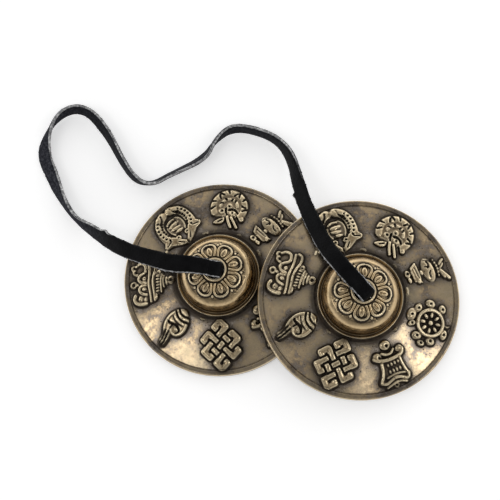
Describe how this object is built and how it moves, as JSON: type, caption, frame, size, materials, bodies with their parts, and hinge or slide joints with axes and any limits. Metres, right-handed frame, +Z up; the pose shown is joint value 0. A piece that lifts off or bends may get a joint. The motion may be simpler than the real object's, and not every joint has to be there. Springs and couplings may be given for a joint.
{
  "type": "tingsha cymbals",
  "caption": "Pair of small cast brass hand cymbals with raised lucky symbols round a flower boss, joined through their centre holes by a black leather strap.",
  "frame": {"origin": "on the surface that the pair lies on, midway between the centres of the two cymbals", "axes": "+X from the left cymbal towards the right one, nine degrees ahead of the line of centres; +Y to the strap's side; +Z up from the surface"},
  "size_m": [0.1447, 0.1017, 0.023],
  "materials": {
    "antique_brass": "antique cast brass, dark in the recesses and rubbed bright on the raised ornament",
    "black_leather": "smooth black grain side, grey suede edges"
  },
  "bodies": {
    "strap": {"strap": "black_leather"},
    "left_knot": {"left_knot": "black_leather"},
    "right_knot": {"right_knot": "black_leather"},
    "left_cymbal": {"left_cymbal": "antique_brass"},
    "right_cymbal": {"right_cymbal": "antique_brass"}
  },
  "joints": [
    {"name": "left_tilt", "type": "hinge", "parent": "strap", "child": "left_knot", "pos_m": [-0.02271, 0.00363, 0.0172], "axis": [0.22, 0.9755, 0], "range_deg": [0, 8]},
    {"name": "left_spin", "type": "hinge", "parent": "left_knot", "child": "left_cymbal", "pos_m": [-0.02271, 0.00363, 0.0172], "axis": [0, 0, 1], "continuous": true},
    {"name": "right_tilt", "type": "hinge", "parent": "strap", "child": "right_knot", "pos_m": [0.02471, -0.00387, 0.02083], "axis": [-0.6, 0.8, 0], "range_deg": [0, 12]},
    {"name": "right_spin", "type": "hinge", "parent": "right_knot", "child": "right_cymbal", "pos_m": [0.02471, -0.00387, 0.02083], "axis": [0.1159, -0.0144, 0.9932], "continuous": true}
  ]
}
